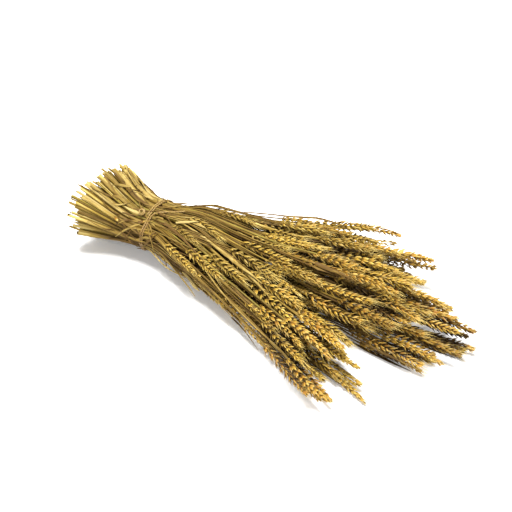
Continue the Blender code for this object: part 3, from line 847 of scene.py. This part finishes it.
def straw_finish(name, stops, vein, shine, specular, dark):
    """Dry straw: fine veins along it, slow blotches, a few greenish straws, dark joints, and painted shade
    inside its hollow cut ends and where straws crowd round. It darkens past the waist, and its cut ends get
    less of the painted crowd shade."""
    tree = Tree(name)
    grain = tree.value("grain")
    veins = tree.noise(tree.scaled(grain, (vein, vein, 0.25)), 1.0, 3.0, 0.6)
    blotch = tree.noise(tree.scaled(grain, (0.35, 0.35, 0.9)), 1.0, 3.0, 0.6)
    fleck = tree.noise(tree.scaled(grain, (1.2, 1.2, 5.0)), 1.0, 2.0, 0.5)
    shade = tree.maths("ADD", "tone", tree.band(blotch, 0.3, 0.7, -0.28, 0.28))
    shade = tree.maths("ADD", shade, tree.band("along", -0.26, -0.04, -0.36, 0.50), clamp=True)
    colour = tree.ramp(shade, stops)
    colour = tree.mix(tree.band(veins, 0.38, 0.62, 0.0, 0.50), colour, dark)
    colour = tree.mix(tree.band(fleck, 0.64, 0.74, 0.0, 0.5), colour, dark)
    greener = tree.band("spread", 0.80, 0.95, 0.0, 0.60)
    greener = tree.maths("MULTIPLY", greener, tree.band(fleck, 0.42, 0.56))
    colour = tree.mix(greener, colour, GREENISH)
    # dark joints, and painted shade inside the hollow cut ends
    colour = tree.mix("flaw", colour, JOINT_BROWN_AND_HOLLOW_SHADE)
    tree.bump(veins, 0.7, 0.2 * MM)
    # less of the painted shade towards the cut ends
    inner = tree.band("along", -0.30, -0.02, 0.35, 1.0)
    return tree.wear(tree.with_painted_shade(colour, inner), tree.band(veins, 0.3, 0.7, shine, shine + 0.2), specular)


def husk_finish():
    """Husks: painted shade at each root where the husk below overlaps it, pale points and margins partly
    painted highlight, some cream spikelets painted as glints, painted shade where straws crowd round, each
    one its own tone, with fine nerves.
    """
    tree = Tree("husk")
    grain = tree.value("grain")
    nerves = tree.noise(tree.scaled(grain, (8.0, 0.9, 37.0)), 1.0, 2.0, 0.5)
    mottle = tree.noise(tree.scaled(grain, (1.6, 3.4, 61.0)), 1.0, 2.0, 0.5)
    own = tree.band("spread", 0.0, 1.0, -0.20, 0.20)
    shade = tree.maths("ADD", "tone", own)
    shade = tree.maths("ADD", shade, tree.band(mottle, 0.3, 0.7, -0.14, 0.14), clamp=True)
    colour = tree.ramp(shade, HUSK_STOPS)
    # painted shade at each husk's root, where the husk below overlaps it
    root = tree.band("along", 0.10, 0.56, 0.84, 0.0)
    colour = tree.mix(root, colour, HUSK_ROOT_SHADE)
    # pale cream spikelets at random, standing for bleached husks and painted glints
    bleached_glint = tree.band("spread", 0.80, 0.96, 0.0, 0.60)
    colour = tree.mix(bleached_glint, colour, HUSK_BLEACHED_GLINT)
    # pale points: partly their own colour, partly a painted highlight
    point = tree.band("along", 0.62, 0.97, 0.0, 0.80)
    colour = tree.mix(point, colour, HUSK_POINT_HIGHLIGHT)
    # pale margins: partly their own colour, partly a painted edge highlight
    margin_highlight = tree.band(tree.part(grain, "X"), 0.70, 0.98, 0.0, 0.40)
    colour = tree.mix(margin_highlight, colour, HUSK_MARGIN_HIGHLIGHT)
    colour = tree.mix(tree.band(nerves, 0.42, 0.60, 0.0, 0.55), colour, HUSK_NERVE)
    # random dirt darkening, held back on near-side ears as painted light
    colour = tree.mix("flaw", colour, HUSK_DIRT_AND_SHADE)
    tree.bump(nerves, 0.8, 0.2 * MM)
    return tree.wear(tree.with_painted_shade(colour), tree.band(nerves, 0.3, 0.7, 0.36, 0.62), 0.28)


def blade_finish():
    """Withered leaf: greyish straw with parallel veins, brown along its edges."""
    tree = Tree("dry_leaf")
    grain = tree.value("grain")
    veins = tree.noise(tree.scaled(grain, (3.2, 0.03, 11.0)), 1.0, 2.0, 0.6)
    blotch = tree.noise(tree.scaled(grain, (0.25, 0.05, 17.0)), 1.0, 3.0, 0.6)
    shade = tree.maths("ADD", "tone", tree.band(blotch, 0.3, 0.7, -0.35, 0.35), clamp=True)
    colour = tree.ramp(shade, BLADE_STOPS)
    colour = tree.mix(tree.band(veins, 0.40, 0.62, 0.0, 0.55), colour, BLADE_VEIN)
    colour = tree.mix("flaw", colour, BLADE_EDGE)
    tree.bump(veins, 0.6, 0.15 * MM)
    # painted shade where straws crowd round
    return tree.wear(tree.with_painted_shade(colour), tree.band(veins, 0.3, 0.7, 0.55, 0.75), 0.10)


# Leaves round the tie: start past the tie, and angle round the bundle (0 far side, 90 top, 180 near side);
# run along and turn round; half width, curl in radians, lift of the end, tone, and material slot. The rest is
# in millimetres and degrees.
NOTED_LEAVES = (
    (-8, 42, -62, -7, 6.0, 0.9, 2.0, 0.05, 0),  # the broad pale sheath over the cut ends
    (-16, 60, -50, -4, 3.6, 1.1, 2.5, 0.30, 0),
    (-16, 124, -26, -3, 2.4, 1.2, 1.0, -0.45, 0),  # the bright straw
    (44, 114, 34, -16, 2.0, 1.4, 3.0, -0.15, 0),  # the bent pale leaf
    (62, 96, 30, 8, 2.2, 1.8, 2.5, 0.35, 0),
    (48, 186, -4, 26, 1.1, 2.0, 9.0, 1.1, 0),  # the dark scrap that hangs down
    (84, 184, 34, 10, 4.6, 2.6, 4.0, 0.15, 0),  # the rounded lobe
    (118, 192, 10, 24, 1.3, 2.4, 7.0, 1.1, 0),  # the dark curled tip
    (-14, 142, 9, -6, 2.6, 0.6, 0.6, 1.3, 0),  # dark strips beside the tie, painted shade under it
    (10, 158, 10, 8, 2.6, 0.6, 0.6, 1.3, 0),
    (-48, 146, 7, 4, 1.8, 1.2, 1.0, 0.85, 1),  # two rusty flecks
    (-9, 140, 5, -5, 1.5, 1.2, 1.2, 0.80, 1),
)
STRAY_LEAF = (Vector((-21, -66, 10)) * MM, Vector((40, -98, 4)) * MM)  # its foot and point, on the near side

# Colours, linear. Stops go from tone 0 to tone 1.
# painted shade: the dark brown that crowded places turn to
PAINTED_SHADE_BROWN = (0.034, 0.016, 0.003)
# dark joints, and painted shade inside hollow cut ends
JOINT_BROWN_AND_HOLLOW_SHADE = (0.060, 0.030, 0.010)
GREENISH = (0.23, 0.205, 0.035)
STRAW_STOPS = (
    (0.0, (0.62, 0.465, 0.145)), (0.3, (0.405, 0.272, 0.046)),
    (0.65, (0.225, 0.142, 0.017)), (1.0, (0.11, 0.060, 0.008)),
)
SHEATH_STOPS = (
    (0.0, (0.55, 0.41, 0.145)), (0.35, (0.36, 0.245, 0.050)),
    (0.7, (0.21, 0.132, 0.022)), (1.0, (0.12, 0.068, 0.012)),
)
TIE_STOPS = ((0.0, (0.62, 0.48, 0.17)), (0.5, (0.42, 0.29, 0.08)), (1.0, (0.22, 0.12, 0.03)))
STRAW_VEIN, SHEATH_VEIN, TIE_VEIN = (0.18, 0.115, 0.026), (0.16, 0.105, 0.030), (0.28, 0.18, 0.06)
HUSK_STOPS = (
    (0.0, (0.36, 0.260, 0.044)), (0.3, (0.47, 0.310, 0.036)), (0.6, (0.51, 0.288, 0.030)),
    (0.85, (0.43, 0.190, 0.015)), (1.0, (0.26, 0.094, 0.008)),
)
# HUSK_ROOT_SHADE: painted shade at the husk roots
HUSK_ROOT_SHADE, HUSK_NERVE, HUSK_DIRT_AND_SHADE = (0.110, 0.042, 0.005), (0.20, 0.090, 0.012), (0.10, 0.050, 0.008)
# cream spikelets painted as glints; points and margins partly painted highlight
HUSK_BLEACHED_GLINT, HUSK_POINT_HIGHLIGHT, HUSK_MARGIN_HIGHLIGHT = (0.84, 0.65, 0.20), (0.97, 0.75, 0.21), (0.76, 0.53, 0.13)
BLADE_STOPS = (
    (0.0, (0.54, 0.41, 0.15)), (0.4, (0.33, 0.228, 0.056)),
    (0.75, (0.19, 0.117, 0.023)), (1.0, (0.09, 0.045, 0.012)),
)
BLADE_VEIN, BLADE_EDGE = (0.17, 0.112, 0.032), (0.09, 0.048, 0.012)

# Studio, in metres, watts and degrees
PAPER, PAPER_GLOW = (0.93, 0.925, 0.915), 0.10
FLOOR_REACH = 6
SKY_LIGHT = 0.46
LAMPS = (("key", (-0.18, 0.02, 1.7), 0.7, 67), ("fill", (0.5, -1.7, 1.2), 1.6, 16))
LAMP_TARGET = (0, 0, 0.03)
LENS, SENSOR = 70, 36  # millimetres
AZIMUTH, ELEVATION, DISTANCE = 28.9, 43, 1.44
TARGET = (-0.0268, 0.0165, 0.0594)


# ---------------------------------------------------------------- putting it together


def loose_sheath(build, straw, waist, tone):
    """A half rolled strip of old sheath beside the straw's foot, from the waist to about its cut end."""
    rng = straw.rng
    end = straw.cut + rng.uniform(-3, 12) * MM
    x = np.linspace(waist[0] - rng.uniform(0, 12) * MM, end, 12)
    share = np.linspace(0, 1, len(x))
    roll = rng.uniform(0, 2 * math.pi)
    middles = straw.middle(x)
    _, aside, above = crosswise(middles)
    out = aside * math.cos(roll) + above * math.sin(roll)
    lift = straw.radius(x) * 0.8 + rng.uniform(0.3, 4.5) * MM * share
    half = rng.uniform(2.2, 3.6) * MM * np.interp(share, [0, 0.2, 0.9, 1], [0.5, 0.9, 1.0, 0.8])
    add_ribbon(build, middles + out * lift[:, None], out, half, rng.uniform(1.6, 3.8), tone, rng, BLADE,
               ragged=0.06)


def core_line(straws, x):
    """The bundle's middle at x, across and up."""
    return np.mean([s.middle(x)[:, 1:] for s in straws], axis=0)


def loose_blade(build, straw, straws, start, tone):
    """A rolled dry blade that leaves its sheath at start and lies along the straws, its end lifting off."""
    rng = straw.rng
    length = rng.uniform(45, 120) * MM
    x = np.linspace(start - 4 * MM, min(start + length, straw.tip - 5 * MM), 20)
    share = np.linspace(0, 1, len(x))
    middles = straw.middle(x)
    out = np.column_stack([np.zeros(len(x)), middles[:, 1:] - core_line(straws, x)])
    out = unit(out + [0, 0, 4 * MM])
    ahead, aside, _ = crosswise(middles)
    drift = rng.normal(0, 7) * MM * share**1.5
    lift = straw.radius(x) + 0.3 * MM + rng.uniform(1, 8) * MM * share**2
    half = rng.uniform(1.6, 3.4) * MM * np.interp(share, [0, 0.1, 0.5, 1], [0.6, 1, 0.8, 0.12])
    roll = rng.uniform(-1.8, 1.8) * share + rng.uniform(-0.5, 0.5)
    up = turned_about(out, ahead, roll)
    add_ribbon(build, middles + out * lift[:, None] + aside * drift[:, None], up, half,
               rng.uniform(1.2, 3.4) * (0.6 + 0.4 * share), tone, rng, BLADE)


def flag_leaf(build, straw, tone):
    """The stalk's uppermost leaf, withered: it leaves the stalk below the ear and lies under the ear."""
    rng = straw.rng
    start = straw.neck - rng.uniform(30, 100) * MM
    x = np.linspace(start, min(start + rng.uniform(100, 170) * MM, straw.tip - 3 * MM), 16)
    share = np.linspace(0, 1, len(x))
    middles = straw.middle(x)
    middles[:, 1] += rng.normal(0, 6) * MM * share
    middles[:, 2] -= (2.5 + rng.uniform(0, 6) * share) * MM * np.minimum(1, share * 4)
    middles[:, 2] = np.maximum(middles[:, 2], 1.0 * MM)
    half = rng.uniform(2.8, 5.0) * MM * np.interp(share, [0, 0.1, 0.6, 1], [0.5, 1, 0.9, 0.1])
    up = np.column_stack([0 * x, rng.normal(0, 0.4) + 0.5 * np.sin(share * 6), np.ones(len(x))])
    add_ribbon(build, middles, up, half, rng.uniform(0.8, 2.6), tone, rng, BLADE, columns=4)


def build_stalks(held, waist, finishes):
    straws = [s for found in held.values() for s in found]
    roots = np.array([s.middle(waist[1])[0] for s in straws])
    apart = np.linalg.norm(roots[:, None] - roots[None], axis=2)
    near = {id(s): [straws[k] for k in np.argsort(apart[n])[1:5]] for n, s in enumerate(straws)}
    for node, found in held.items():
        build = Build()
        outer = node.startswith("stalk_")
        inner = int(not outer)
        for straw in found:
            rng = straw.rng
            sides, boat = (8, FINE_BOAT) if outer else (6, PLAIN_BOAT)
            sheaths = add_culm(build, straw, waist, sides, float(np.clip(rng.normal(0.42, 0.20), 0, 1)))
            add_ear(build, straw, waist, boat, ear_tone(straw, waist))
            for _ in range(BROKEN_EACH[inner]):
                pair = straw, near[id(straw)][rng.integers(4)]
                add_broken(build, rng, pair, waist, rng.uniform(0.0, 1.0))
            for _ in range(rng.choice([0, 1, 2])):
                loose_sheath(build, straw, waist, float(rng.uniform(0.1, 0.9)))
            for _, end in sheaths:
                high = straw.middle(end)[0, 2] > 0.35 * cad_high.z
                if end > waist[1] + 10 * MM and high and rng.random() < BLADE_CHANCE[inner]:
                    loose_blade(build, straw, straws, end, float(rng.uniform(0.35, 1.15)))
            if straw.neck > waist[1] + FLAG_CLEAR and rng.random() < FLAG_CHANCE:
                flag_leaf(build, straw, float(rng.uniform(0.65, 1.3)))
            across, above = straw.middle(0)[0, 1:]
            far = across > 0.35 * cad_high.y
            near_low = across < -0.25 * cad_high.y and above < 0.4 * cad_high.z
            both = outer and (far or near_low)
            for late in range(2 if both else int(rng.random() < LATE_CHANCE[inner])):
                pair, place = (straw, near[id(straw)][late]), FAR_TILLER if far and late else TILLER
                tiller = Tiller(int(rng.integers(10**6)), pair, waist, *place)
                add_culm(build, tiller, waist, 6, float(rng.uniform(0.3, 0.8)))
                add_ear(build, tiller, waist, PLAIN_BOAT, ear_tone(tiller, waist))
        piece = build.made(node + "_grown", finishes)
        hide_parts(node)


def ear_tone(straw, waist):
    """Ears that end near the tie are olive and those far from it golden."""
    reach = (straw.tip - waist[0]) / (cad_high.x - waist[0])
    return float(np.clip(0.66 * reach + straw.rng.normal(0, 0.16), 0.0, 0.95))


def frames_along(middles):
    """Ways square to a line that turn with it as little as they can."""
    ahead = unit(np.gradient(middles, axis=0))
    aside = [unit(np.cross(ahead[0], [0.3, 0.1, 1.0]))]
    for way in ahead[1:]:
        last = aside[-1]
        aside.append(unit(last - way * last.dot(way)))
    aside = np.array(aside)
    return ahead, aside, np.cross(ahead, aside)


def add_twisted(build, middles, radius, pitch, tone):
    """Two strands twisted round each other along a line."""
    length = length_along(middles)
    _, aside, above = frames_along(middles)
    for ply in range(2):
        turn = length / pitch * 2 * math.pi + ply * math.pi
        line = middles + (aside * np.cos(turn)[:, None] + above * np.sin(turn)[:, None]) * radius * 0.8
        add_tube(build, line, radius, 6, tone + 0.2 * ply, ply * 7.0)


def add_tube(build, middles, radius, sides, tone, seed):
    """A round strand along any line, even one that runs upright."""
    ahead, aside, above = frames_along(middles)
    ring, turn = circle(aside, above, sides)
    radius, tone = (np.broadcast_to(v, len(middles)) for v in (radius, tone))
    points = middles[:, None] + ring * radius[:, None, None]
    ends = np.vstack([middles[0] - ahead[0] * radius[0], middles[-1] + ahead[-1] * radius[-1]])
    count = len(middles)
    length = length_along(middles)
    grain = np.column_stack([np.tile(np.cos(turn), count), np.tile(np.sin(turn), count) + seed,
                             np.repeat(length, sides) * 25])
    build.add(np.vstack([points.reshape(-1, 3), ends]), lattice(count, sides), caps(count, sides), 0,
              np.vstack([grain, grain[:1], grain[-1:]]), spread=0.5,
              tone=np.concatenate([np.repeat(tone, sides), tone[:1], tone[-1:]]))


def build_tie(skin, finish):
    """The twisted straw: twice round the waist, then its loose end laid forward over the top."""
    low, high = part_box("tie_straw")
    curl_low, curl_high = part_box("tie_curl")
    curl = (curl_low + curl_high) / 2
    crossing = math.atan2(curl.z - skin.middle[1], curl.y - skin.middle[0])
    radius = 0.74 * MM
    start = low.x + 1.5 * MM
    pitch = 3.4 * MM
    share = np.linspace(0, 2, 420)
    places, _ = skin.at(start + pitch * share, crossing - 2 * math.pi * share, 1.5 * MM)
    tail = np.linspace(0.02, 1, 46)
    tail_x = places[-1, 0] + (high.x - 1.5 * MM - places[-1, 0]) * tail
    tail_turn = crossing - math.radians(40) * np.sqrt(tail)
    tail_places, _ = skin.at(tail_x, tail_turn, 1.5 * MM + 0.8 * MM * tail**3)
    build = Build()
    line = np.vstack([places, tail_places])
    # painted shade: the tie's strands are darker the lower they run round the bundle
    brown = np.interp(line[:, 2] / cad_high.z, [0.2, 0.75], [0.85, 0.15])
    add_twisted(build, line, radius, 9 * MM, brown)
    piece = build.made("tie_straw_twisted", [finish])
    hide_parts("tie_straw")

    build = Build()
    turn = np.linspace(0, 2.6 * 2 * math.pi, 90)
    out = np.array([0, math.cos(crossing), math.sin(crossing)])
    over = np.array([0, -math.sin(crossing), math.cos(crossing)])
    reach = np.linspace(4.6, 3.0, len(turn)) * MM
    coil = np.array(curl) + np.outer(np.cos(turn) * reach, over) + np.outer(np.sin(turn) * reach, [1.0, 0, 0])
    coil = coil + np.outer(np.linspace(-0.6, 2.2, len(turn)) * MM, out)
    add_tube(build, coil, np.linspace(1.0, 0.55, len(turn)) * MM, 7, 0.15, 3.0)
    piece = build.made("tie_curl_coiled", [finish])
    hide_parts("tie_curl")


def build_leaf(node, arch, width, tone, rng, finish):
    """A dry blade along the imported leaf, rolled along its length and narrowing to its point."""
    corners = corners_and_edges(node)[0]
    stations = corners[np.argsort(corners[:, 0])].reshape(-1, 4, 3)
    middles = stations.mean(axis=1)
    half = np.ptp(stations[..., 1], axis=1) / 2
    x = np.linspace(middles[0, 0], middles[-1, 0], 60)
    line = np.column_stack([x, sampled(x, middles[:, 0], middles[:, 1:])])
    for _ in range(6):
        line[1:-1, 2] = np.maximum(line[1:-1, 2], (line[:-2, 2] + line[2:, 2]) / 2)
    share = np.linspace(0, 1, len(x))
    line[:, 2] += arch * np.sin(share * math.pi)
    half = np.interp(x, middles[:, 0], half) * width
    up = np.column_stack([0 * x, 0.5 * np.sin(share * 5 + rng.uniform(0, 6)), np.ones(len(x))])
    build = Build()
    add_ribbon(build, line, up, half, 1.9 + 1.0 * np.sin(share * 7), tone, rng, columns=8, ragged=0.08,
               thickness=0.3 * MM)
    piece = build.made(node + "_dried", [finish])
    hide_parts(node)


def build_scraps(skin, waist, rng, finish):
    """Curled scraps of leaf caught under and beside the tie, all round the waist but not beneath it."""
    build = Build()
    for number in range(SCRAPS):
        angle = rng.uniform(-0.25, math.pi + 0.25)
        start = rng.uniform(waist[0] - (52 if number % 2 else 24) * MM, waist[1] + 14 * MM)
        heading = rng.normal(0, 0.42)
        length = rng.uniform(10, 42) * MM * rng.choice([-1, 1])
        share = np.linspace(0, 1, 16)
        x = start + length * np.cos(heading) * share
        round_by = length * np.sin(heading) * share / (38 * MM) + rng.normal(0, 0.15) * share**2
        lift = 0.6 * MM + rng.uniform(0, 5.5) * MM * share**2.2
        middles, out = skin.at(x, angle + round_by, lift)
        half = rng.uniform(0.6, 2.8) * MM * np.interp(share, [0, 0.2, 0.7, 1], [0.5, 1, 0.9, 0.2])
        up = facing(middles, out, rng.uniform(-2.0, 2.0) * share)
        add_ribbon(build, middles, up, half, rng.uniform(0.8, 3.6), rng.uniform(0.35, 1.3), rng, ragged=0.15,
                   thickness=0.22 * MM)
    piece = build.made("leaf_scraps", [finish])


def build_splinters(skin, waist, rng, finish):
    """Thin split straws that lie along the bundle from the tie towards the ears."""
    build = Build()
    for _ in range(SPLINTERS):
        angle = rng.uniform(-0.3, math.pi + 0.35)
        start = rng.uniform(waist[0] - 4 * MM, waist[1] + 40 * MM)
        end = min(start + rng.uniform(45, 125) * MM, skin.x[-1])
        share = np.linspace(0, 1, 14)
        lift = (rng.uniform(-0.6, 1.2) + rng.uniform(0, 3.5) * share**2) * MM
        middles, out = skin.at(mixed(start, end, share), angle + rng.normal(0, 0.10) * share, lift)
        half = rng.uniform(0.45, 1.15) * MM * np.interp(share, [0, 0.1, 0.9, 1], [0.5, 1, 0.9, 0.3])
        add_ribbon(build, middles, out, half, rng.uniform(2.0, 4.5), rng.uniform(0.3, 1.25), rng, columns=4,
                   thickness=0.2 * MM)
    piece = build.made("split_straws", [finish])


def build_noted(skin, waist, rng, finishes):
    """The leaves round the tie that can be told apart, and the stalk that bows out below it."""
    build = Build()
    for along, degrees, run, turn, half, curl, lift, tone, slot in NOTED_LEAVES:
        share = np.linspace(0, 1, 18)
        middles, out = skin.at(waist.mean() + (along + run * share) * MM, np.radians(degrees + turn * share),
                               (0.9 + lift * share**1.6) * MM)
        up = facing(middles, out, 0.5 * np.sin(share * 4 + degrees))
        half = half * MM * np.interp(share, [0, 0.15, 0.75, 1], [0.7, 1, 0.9, 0.25])
        add_ribbon(build, middles, up, half, curl, tone, rng, slot, columns=7, ragged=0.08)
    share = np.linspace(0, 1, 30)
    middles, _ = skin.at(waist.mean() + mixed(2, 86, share) * MM, np.radians(mixed(188, 200, share)),
                         (0.5 + 7.5 * np.sin(share * math.pi) ** 1.5) * MM)
    add_tube(build, middles, np.full(len(share), 0.95 * MM), 7, 0.3, 5.0)
    foot, point = (np.array(place) for place in STRAY_LEAF)
    share = np.linspace(0, 1, 16)
    middles = foot + np.outer(share, point - foot)
    middles[:, 2] += 5 * MM * np.sin(share * math.pi)
    half = 1.3 * MM * np.interp(share, [0, 0.2, 1], [0.7, 1, 0.1])
    add_ribbon(build, middles, np.tile([0.0, -0.3, 1], (len(share), 1)), half, 1.6, 0.75, rng, ragged=0.08)
    piece = build.made("noted_leaves", finishes)


def build_studio():
    """A pale floor, soft lights and the camera."""
    floor = bpy.data.objects.new("floor", bpy.data.meshes.new("floor"))
    corners = [(x * FLOOR_REACH, y * FLOOR_REACH, 0) for x, y in ((-1, -1), (1, -1), (1, 1), (-1, 1))]
    floor.data.from_pydata(corners, [], [(0, 1, 2, 3)])
    paper = Tree("paper")
    paper.surface.inputs["Emission Color"].default_value = (1, 1, 1, 1)
    paper.surface.inputs["Emission Strength"].default_value = PAPER_GLOW
    floor.data.materials.append(paper.wear(PAPER, 0.9, 0.1))
    bpy.context.scene.collection.objects.link(floor)

    world = bpy.data.worlds.new("studio")
    bpy.context.scene.world = world
    world.use_nodes = True
    world.node_tree.nodes["Background"].inputs[0].default_value = (1, 1, 1, 1)
    world.node_tree.nodes["Background"].inputs[1].default_value = SKY_LIGHT
    for name, place, size, power in LAMPS:
        lamp = bpy.data.lights.new(name, "AREA")
        lamp.size, lamp.energy = size, power
        holder = bpy.data.objects.new(name, lamp)
        bpy.context.scene.collection.objects.link(holder)
        holder.location = place
        holder.rotation_euler = (Vector(place) - Vector(LAMP_TARGET)).to_track_quat("Z", "Y").to_euler()

    camera = bpy.data.objects.new("camera", bpy.data.cameras.new("camera"))
    bpy.context.scene.collection.objects.link(camera)
    camera.data.lens, camera.data.sensor_width = LENS, SENSOR
    azimuth, elevation = math.radians(AZIMUTH), math.radians(ELEVATION)
    level = math.cos(elevation)
    back = Vector((math.sin(azimuth) * level, -math.cos(azimuth) * level, math.sin(elevation)))
    camera.location = Vector(TARGET) + back * DISTANCE
    camera.rotation_euler = back.to_track_quat("Z", "Y").to_euler()
    bpy.context.scene.camera = camera
    bpy.context.scene.view_settings.view_transform = "Standard"


def main():
    global core, crowd
    held, waist = read_straws()
    straws = [s for found in held.values() for s in found]
    core, crowd = Core(straws), Crowd(straws)
    skin = Skin(straws, waist[0] - 75 * MM, waist[1] + 135 * MM)
    wheat = [
        straw_finish("culm", STRAW_STOPS, 2.6, 0.42, 0.16, STRAW_VEIN),
        straw_finish("sheath", SHEATH_STOPS, 4.5, 0.55, 0.12, SHEATH_VEIN),
        husk_finish(),
        blade_finish(),
    ]
    tie = straw_finish("tie_straw", TIE_STOPS, 3.0, 0.45, 0.4, TIE_VEIN)
    rng = np.random.default_rng(SEED)
    build_stalks(held, waist, wheat)
    build_tie(skin, tie)
    for node, arch, width, tone in (
        ("leaf_top", 1 * MM, 0.55, 0.35), ("leaf_near", 0.0, 0.55, 0.55), ("leaf_far", 10 * MM, 0.75, 0.95),
    ):
        build_leaf(node, arch, width, tone, rng, wheat[BLADE])
    build_scraps(skin, waist, rng, wheat[BLADE])
    build_noted(skin, waist, rng, [wheat[BLADE], wheat[HUSK]])
    build_splinters(skin, waist, rng, wheat[BLADE])
    build_studio()


main()
